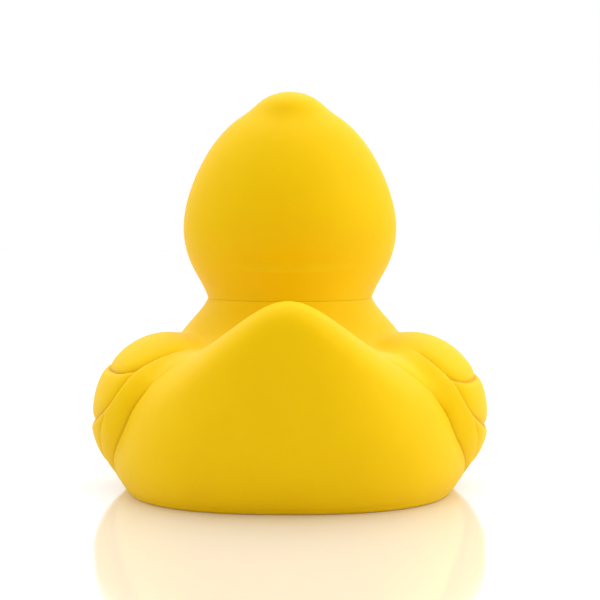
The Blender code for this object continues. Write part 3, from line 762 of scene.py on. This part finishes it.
def build_head_plug():
    hollow, flange, body, groove = 36.8 * MM, 46.8 * MM, 39.2 * MM, 38 * MM
    low = NECK_Z - 6.8 * MM
    floor_z, flange_low, flange_high = low + 2.4 * MM, NECK_Z + 4.5 * MM, HEAD_LEDGE_Z[0] - GAP
    groove_low, groove_high = NECK_Z - 2.4 * MM, NECK_Z
    mark_z = low + 0.5 * MM
    profile = [(0, floor_z), (hollow, floor_z), (hollow, flange_high), (flange, flange_high)]
    profile += [(flange, flange_low), (body, flange_low), (body, groove_high), (groove, groove_high)]
    profile += [(groove, groove_low), (body, groove_low), (body, low + 0.8 * MM), (38.4 * MM, low)]
    profile += [(22 * MM, low), (21.4 * MM, mark_z), (20.6 * MM, mark_z), (20 * MM, low), (0, low)]
    plug = turned("moulded_head_plug", profile)
    sinks = [arc_points(x, y, 2.7 * MM, 40) for x, y in head_screw_places()]
    return combine(plug, prism("sinks", sinks, flange_low - 1 * MM, flange_low + 1.6 * MM, (0, 0)), edge=0.2)


def build_plug_ring():
    """The O-ring in the plug's groove."""
    middle, thick, drop = 39.05, 0.72, 1.2
    ways = plan_ways(TURN_STEPS)
    turns = np.arange(20) * 2 * math.pi / 20
    rings = [
        circle(ways, (middle + thick * math.cos(t)) * MM, NECK_Z + (thick * math.sin(t) - drop) * MM)
        for t in turns
    ]
    return loft("rubber_plug_ring", rings)


# ---- Bill and eyes ----

MOUTH_HALF = 0.3 * MM  # half of the slit between the bill's halves
BILL_SEAT = 1.0 * MM  # how far the bill's rear sits in the head's skin
UPPER_BILL_MIDDLE = (0, -0.107, 0.1625)
LOWER_BILL_MIDDLE = (0, -0.1065, 0.1535)
GLANCE = (0.46, -0.76, 0.44)  # the way from the head's centre to the left eye
PUPIL_RADIUS = 7.3 * MM
EYE_BED = 7.6  # radius of the flat that the pupil sits in, in millimetres
EYE_HALVES = (12.0, 13.5)  # half width and half height of the white, in millimetres
EYE_HIGH = 3.9 * MM


def upper_bill(p):
    form = blend(ellipsoid(p, *UPPER_BRIDGE), ellipsoid(p, *UPPER_LIP), width=0.007)
    form = cut(form, ellipsoid(mirrored(p), *NOSTRIL), width=0.0012)
    return cut(form, p[..., 2] - (MOUTH_Z + MOUTH_HALF), width=0.0016)


def lower_bill(p):
    form = blend(ellipsoid(p, *LOWER_BRIDGE), ellipsoid(p, *LOWER_LIP), width=0.007)
    return cut(form, (MOUTH_Z - MOUTH_HALF) - p[..., 2], width=0.0014)


def build_bill(name, field, centre):
    """Half of the bill. Its rear sits a little way into the head's skin."""

    def seated(p):
        return np.maximum(field(p), -BILL_SEAT - head_field(p))

    far = 0.05
    ways = plan_ways(BILL_COLUMNS)
    tilts = np.linspace(0, math.pi, BILL_ROWS + 2)[1:-1]
    rings = [
        reach_surface(seated, centre, ways * math.sin(t) + np.array([0, 0, math.cos(t)]), far=far)
        for t in tilts
    ]
    poles = [reach_surface(seated, centre, np.array([[0, 0, s]]), far=far)[0] for s in (1.0, -1.0)]
    return loft(name, rings, poles)


def eye_frame(side):
    """A point of the head's surface, then its level axis, its rising axis and its outward normal."""
    glance = np.array([[side * GLANCE[0], *GLANCE[1:]]])
    point = reach_surface(head_field, HEAD_CENTRE, glance)
    normal = normals_of(head_field, point)[0]
    across = np.cross((0, 0, 1), normal)
    across /= np.linalg.norm(across)
    return point[0], across, np.cross(normal, across), normal


def draped(place, across, rise, height):
    """Points over the head's surface at a height, on an ellipse round the eye."""
    lowest, highest = -12 * MM, 8 * MM
    point, u, v, normal = place
    turns = np.arange(EYE_STEPS) * 2 * math.pi / EYE_STEPS
    start = point + np.cos(turns)[:, None] * across * u + np.sin(turns)[:, None] * rise * v

    def inside(distance):
        return head_field(start + distance[:, None] * normal) < 0

    low = last_inside(inside, np.full(EYE_STEPS, lowest), np.full(EYE_STEPS, highest))
    return start + (low[:, None] + height) * normal


def build_eye(side, label):
    """A domed white with a flat bed, and the pupil that sits in it."""
    place = eye_frame(side)
    point, normal = place[0], place[3]
    bed_z, bed_rim_z, skirt_z, under_z = 2.0 * MM, 2.2 * MM, -0.9 * MM, -2.2 * MM
    pupil_low, pupil_edge, pupil_middle, pupil_dome = 2.05 * MM, 2.15 * MM, 3.0 * MM, 2.0 * MM
    rings = [draped(place, r * MM, r * MM, bed_z) for r in (2, 5, 7.2, 7.45)]
    rings += [draped(place, EYE_BED * MM, EYE_BED * MM, bed_rim_z)]
    for k in np.linspace(0, 1, 15):
        across, rise = (EYE_BED + (half - EYE_BED) * k for half in EYE_HALVES)
        share = min(1.0, (across / EYE_HALVES[0] + rise / EYE_HALVES[1]) / 2)
        height = EYE_HIGH * math.sqrt(1 - share**2.4) * (1 - 0.04 * k)
        rings.append(draped(place, across * MM, rise * MM, height))
    rings += [draped(place, 11.8 * MM, 13.3 * MM, skirt_z)]
    white = loft(f"glossy_eye_white_{label}", rings, [point + normal * bed_z, point + normal * under_z])
    domes = []
    for t in np.linspace(0, math.pi / 2, 14)[1:]:
        radius = PUPIL_RADIUS * math.sin(t)
        domes.append(draped(place, radius, radius, pupil_middle + pupil_dome * math.cos(t)))
    domes += [draped(place, PUPIL_RADIUS, PUPIL_RADIUS, pupil_edge)]
    domes += [draped(place, PUPIL_RADIUS - 0.1 * MM, PUPIL_RADIUS - 0.1 * MM, pupil_low)]
    ends = [point + normal * (pupil_middle + pupil_dome), point + normal * pupil_low]
    return white, loft(f"glossy_pupil_{label}", domes, ends)


# ---- Materials ----


class Look:
    """A material whose shader's sockets take values or the outputs of texture nodes."""

    def __init__(self, name):
        self.material = bpy.data.materials.new(name)
        self.material.use_nodes = True
        self.tree = self.material.node_tree
        self.shader = self.tree.nodes["Principled BSDF"]
        self.place = self.tree.nodes.new("ShaderNodeTexCoord").outputs["Object"]

    def put(self, socket, value):
        if isinstance(value, bpy.types.NodeSocket):
            self.tree.links.new(value, socket)
        elif isinstance(value, tuple) and len(value) == 3 and socket.type == "RGBA":
            socket.default_value = (*value, 1)
        else:
            socket.default_value = value

    def set(self, **values):
        for name, value in values.items():
            self.put(self.shader.inputs[name.replace("_", " ")], value)

    def make(self, kind, sockets=(), **settings):
        made = self.tree.nodes.new(kind)
        for name, value in settings.items():
            setattr(made, name, value)
        for name, value in dict(sockets).items():
            self.put(made.inputs[name], value)
        return made

    def noise(self, scale, detail, rough=0.5, stretch=(1, 1, 1)):
        where = self.place
        if stretch != (1, 1, 1):
            where = self.make("ShaderNodeMapping", {"Vector": self.place, "Scale": stretch}).outputs[0]
        sockets = {"Vector": where, "Scale": scale, "Detail": detail, "Roughness": rough}
        return self.make("ShaderNodeTexNoise", sockets).outputs[0]

    def span(self, value, low, high, start=0.3, end=0.7):
        sockets = {"Value": value, "From Min": start, "From Max": end, "To Min": low, "To Max": high}
        return self.make("ShaderNodeMapRange", sockets).outputs[0]

    def between(self, factor, first, second):
        # A Mix node has sockets for every data type: 0 is the factor, 6 and 7 are the colours
        mix = self.make("ShaderNodeMix", data_type="RGBA")
        self.put(mix.inputs[0], factor)
        self.put(mix.inputs[6], first)
        self.put(mix.inputs[7], second)
        return mix.outputs[2]

    def bump(self, height, distance, strength=1.0, under=None):
        made = self.make("ShaderNodeBump", {"Height": height, "Distance": distance, "Strength": strength})
        if under is not None:
            self.tree.links.new(under, made.inputs["Normal"])
        return made.outputs[0]


FOLD_SHADE_TINT = (0.74, 0.60, 0.5)  # what the painted shade in a fold does to red, green and blue


def vinyl(name, main, warm):
    """Soft matte vinyl: a fine moulded grain, slight mottling, painted shade in the folds that darkens with
    their depth, and light that spreads under the skin."""
    look = Look(name)
    mottle = look.noise(22, 3)
    grain = look.noise(2600, 2)
    waves = look.noise(90, 2)
    height = look.bump(waves, 0.00012)
    height = look.bump(grain, 0.00003, 0.5, height)
    # Painted shade: the colour darkens and warms with the depth in a fold
    fold_shade_mask = look.make("ShaderNodeAttribute", attribute_name="painted_fold_shade").outputs["Fac"]
    skin = look.between(look.span(mottle, 0, 1), main, warm)
    # The colour of the painted shade at the bottom of a fold
    deep = tuple(level * tint for level, tint in zip(warm, FOLD_SHADE_TINT))
    look.set(
        Base_Color=look.between(look.span(fold_shade_mask, 0, 0.75, 0, 1), skin, deep),
        Roughness=look.span(look.noise(340, 3), 0.46, 0.56),
        Normal=height,
        Subsurface_Weight=0.16,
        Subsurface_Radius=(0.003, 0.0013, 0.0003),
        Subsurface_Scale=1.0,
        Specular_IOR_Level=0.08,
    )
    return look.material


def gloss(name, colour, roughness):
    """Glossy enamel with a faint orange peel."""
    look = Look(name)
    look.set(
        Base_Color=look.between(look.span(look.noise(60, 2), 0, 1), colour, tuple(c * 0.97 for c in colour)),
        Roughness=look.span(look.noise(500, 2), roughness, roughness + 0.05),
        Normal=look.bump(look.noise(420, 1), 0.00002),
        Specular_IOR_Level=0.4,
    )
    return look.material


def moulded(name, main, other):
    """Satin injection-moulded plastic: a fine spark texture, flow marks and light scuffs."""
    look = Look(name)
    scuffs = look.noise(140, 6, 0.7, (1, 6, 1))
    grain = look.bump(look.noise(3000, 2), 0.00002)
    look.set(
        Base_Color=look.between(look.span(look.noise(35, 3), 0, 1), main, other),
        Roughness=look.span(scuffs, 0.34, 0.50, 0.4, 0.7),
        Normal=grain,
        Subsurface_Weight=0.06,
        Subsurface_Radius=(0.0015, 0.0015, 0.0015),
        Subsurface_Scale=1.0,
    )
    return look.material


def rubber_look():
    look = Look("matte_black_rubber")
    bloom = look.noise(80, 4, 0.6)
    black, greyed = (0.016, 0.016, 0.017), (0.035, 0.035, 0.034)
    look.set(
        Base_Color=look.between(look.span(bloom, 0, 1, 0.4, 0.7), black, greyed),
        Roughness=look.span(bloom, 0.6, 0.8),
        Normal=look.bump(look.noise(2200, 3), 0.00003),
    )
    return look.material


def steel_look():
    look = Look("turned_stainless_steel")
    turned_lines = look.noise(1800, 3, 0.6, (1, 1, 0.15))
    look.set(
        Base_Color=look.between(look.span(look.noise(200, 2), 0, 1), (0.62, 0.61, 0.59), (0.54, 0.53, 0.52)),
        Metallic=1.0,
        Roughness=look.span(turned_lines, 0.20, 0.38),
        Normal=look.bump(turned_lines, 0.00001),
    )
    return look.material


def zinc_look():
    look = Look("rough_cast_zinc")
    pits = look.noise(420, 5, 0.65)
    look.set(
        Base_Color=look.between(look.span(pits, 0, 1), (0.34, 0.35, 0.36), (0.24, 0.25, 0.26)),
        Metallic=1.0,
        Roughness=look.span(pits, 0.45, 0.7),
        Normal=look.bump(pits, 0.0002),
    )
    return look.material


def chlorine_look():
    """Pressed powder: chalky, speckled with grains, and a little grey where it has dusted."""
    look = Look("pressed_white_powder")
    speckle = look.noise(1400, 4, 0.7)
    dust = look.noise(70, 4, 0.6)
    tint = look.between(look.span(dust, 0, 1), (0.83, 0.84, 0.82), (0.76, 0.78, 0.75))
    height = look.bump(look.noise(300, 4, 0.6), 0.0003, 0.6)
    look.set(
        Base_Color=look.between(look.span(speckle, 0, 0.6, 0.55, 0.75), tint, (0.62, 0.65, 0.63)),
        Roughness=look.span(speckle, 0.82, 0.95),
        Normal=look.bump(speckle, 0.0001, 0.8, height),
        Specular_IOR_Level=0.2,
    )
    return look.material


# ---- Stage ----

FLOOR_REACH = 9.0
FLOOR_MATTE = 0.80
FLOOR_GLOSS = 0.50  # the share of gloss in the floor
FLOOR_ROUGHNESS = 0.10
FLOOR_GLOW = 0.06
WORLD_LEVEL = (0.16, 0.98)  # light from +Y, where the photograph was taken, and from -Y
WORLD_OVERHEAD = 1.04
LENS = 99.24
CAMERA_PLACE = (-0.0063, 0.999, 0.1584)
CAMERA_AIM = (-0.0063, 0, 0.113)
LIGHT_AIM = (0, 0, 0.12)


def build_floor():
    """A pale floor, part matte and part gloss, with a little glow that keeps it white."""
    mesh = bpy.data.meshes.new("studio_floor")
    corners = [(-1, -1), (1, -1), (1, 1), (-1, 1)]
    mesh.from_pydata([(x * FLOOR_REACH, y * FLOOR_REACH, 0) for x, y in corners], [], [(0, 1, 2, 3)])
    floor = add_object("studio_floor", mesh)
    material = bpy.data.materials.new("pale_floor")
    material.use_nodes = True
    tree = material.node_tree
    tree.nodes.clear()
    out = tree.nodes.new("ShaderNodeOutputMaterial")
    matte = tree.nodes.new("ShaderNodeBsdfDiffuse")
    matte.inputs["Color"].default_value = (FLOOR_MATTE, FLOOR_MATTE, FLOOR_MATTE, 1)
    glow = tree.nodes.new("ShaderNodeEmission")
    glow.inputs["Strength"].default_value = FLOOR_GLOW
    shine = tree.nodes.new("ShaderNodeBsdfGlossy")
    shine.inputs["Color"].default_value = (1, 1, 1, 1)
    shine.inputs["Roughness"].default_value = FLOOR_ROUGHNESS
    mix = tree.nodes.new("ShaderNodeMixShader")
    mix.inputs[0].default_value = FLOOR_GLOSS
    total = tree.nodes.new("ShaderNodeAddShader")
    tree.links.new(matte.outputs[0], mix.inputs[1])
    tree.links.new(shine.outputs[0], mix.inputs[2])
    tree.links.new(mix.outputs[0], total.inputs[0])
    tree.links.new(glow.outputs[0], total.inputs[1])
    tree.links.new(total.outputs[0], out.inputs[0])
    mesh.materials.append(material)


def build_world():
    """The background of the picture stays white, while the light is stronger from behind and from above."""
    world = bpy.data.worlds.new("studio")
    bpy.context.scene.world = world
    world.use_nodes = True
    nodes, links = world.node_tree.nodes, world.node_tree.links
    way = nodes.new("ShaderNodeTexCoord")
    split = nodes.new("ShaderNodeSeparateXYZ")
    links.new(way.outputs["Generated"], split.inputs[0])
    both = nodes.new("ShaderNodeMath")
    spans = (("Y", (0.9, -0.9, *WORLD_LEVEL)), ("Z", (0.0, 1.0, 0.0, WORLD_OVERHEAD)))
    for (axis, limits), target in zip(spans, both.inputs):
        fall = nodes.new("ShaderNodeMapRange")
        for socket, value in zip(fall.inputs[1:5], limits):
            socket.default_value = value
        links.new(split.outputs[axis], fall.inputs[0])
        links.new(fall.outputs[0], target)
    path = nodes.new("ShaderNodeLightPath")
    level = nodes.new("ShaderNodeMix")
    level.inputs[3].default_value = 1.0
    links.new(path.outputs["Is Camera Ray"], level.inputs[0])
    links.new(both.outputs[0], level.inputs[2])
    links.new(level.outputs[0], nodes["Background"].inputs["Strength"])
    nodes["Background"].inputs["Color"].default_value = (1, 1, 1, 1)


def aimed(item, place, aim):
    item.location = place
    item.rotation_euler = (Vector(aim) - Vector(place)).to_track_quat("-Z", "Y").to_euler()


def area_light(name, place, aim, size, power):
    data = bpy.data.lights.new(name, "AREA")
    data.shape = "RECTANGLE"
    data.size, data.size_y = size
    data.energy = power
    light = add_object(name, data)
    aimed(light, place, aim)
    light.visible_camera = False


def build_camera():
    data = bpy.data.cameras.new("camera")
    data.sensor_width = 36
    data.lens = LENS
    data.clip_end = 50
    camera = add_object("camera", data)
    aimed(camera, CAMERA_PLACE, CAMERA_AIM)
    bpy.context.scene.camera = camera


bpy.context.scene.view_settings.view_transform = "Standard"
build_floor()
build_world()
build_camera()
area_light("side_left", (0.9, 0.15, 0.5), LIGHT_AIM, size=(0.7, 1.1), power=0.3)
area_light("side_right", (-0.9, 0.15, 0.5), LIGHT_AIM, size=(0.7, 1.1), power=2.6)
area_light("overhead", (0, -0.3, 1.3), (0, 0, 0.1), size=(1.2, 1.2), power=2.0)

yellow = vinyl("soft_yellow_vinyl", (0.90, 0.57, 0.0), (0.88, 0.54, 0.0))
orange = vinyl("soft_orange_vinyl", (0.90, 0.22, 0.006), (0.87, 0.19, 0.005))
eye_white = gloss("glossy_eye_white", (0.86, 0.86, 0.83), 0.16)
eye_black = gloss("glossy_eye_black", (0.008, 0.008, 0.009), 0.10)
white = moulded("moulded_white_plastic", (0.80, 0.81, 0.80), (0.77, 0.78, 0.78))
blue = moulded("moulded_blue_plastic", (0.025, 0.19, 0.46), (0.022, 0.17, 0.42))
rubber = rubber_look()
steel = steel_look()
zinc = zinc_look()
chlorine = chlorine_look()

show(build_body_skin(), "body", "yellow_vinyl", yellow, "body_shell")
show(build_head_skin(), "head", "yellow_vinyl", yellow, "head_shell")
upper = build_bill("soft_upper_bill", upper_bill, UPPER_BILL_MIDDLE)
show(upper, "head", "orange_vinyl", orange, "bill_upper")
lower = build_bill("soft_lower_bill", lower_bill, LOWER_BILL_MIDDLE)
show(lower, "head", "orange_vinyl", orange, "bill_lower")
for side, label in ((1, "left"), (-1, "right")):
    eye, pupil = build_eye(side, label)
    show(eye, "head", "eye_white", eye_white, f"eye_white_{label}")
    show(pupil, "head", "eye_black", eye_black, f"eye_pupil_{label}")

show(build_base_pan(), "body", "white_polypropylene", white, "base_pan")
show(build_flow_marks(), "body", "white_polypropylene", white)
show(build_tube(), "body", "white_polypropylene", white, "tablet_tube")
show(build_lock_ring(), "body", "white_polypropylene", white, "tube_lock_ring")
show(build_grille(), "body", "white_polypropylene", white, "vent_grille")
show(build_dial(), "dial", "blue_polypropylene", blue, "flow_dial")
show(build_dial_screw(), "body", "stainless_steel", steel, "dial_screw")
show(build_head_plug(), "head", "white_polypropylene", white, "head_plug")
show(build_plug_ring(), "seal_ring", "seal_rubber", rubber, "head_plug_ring")
for number, place in enumerate(screw_places(), 1):
    screw = build_screw(f"cross_base_screw_{number}", place, *BASE_SCREW_Z)
    show(screw, "body", "stainless_steel", steel, f"base_screw_{number}")
for number, place in enumerate(head_screw_places(), 1):
    screw = build_screw(f"cross_head_screw_{number}", place, *HEAD_SCREW_Z)
    show(screw, "head", "stainless_steel", steel, f"head_screw_{number}")
for number in range(TABLETS):
    show(build_tablet(number), "tablet_stack", "pressed_chlorine", chlorine, f"tablet_{number + 1}")

kept = {"counterweight": zinc}
kept.update({name: rubber for name in ("base_gasket", "tube_top_gasket", "tube_lower_seal", "dial_washer")})
for name, look in kept.items():
    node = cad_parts[name]
    node.data.materials.clear()
    node.data.materials.append(look)
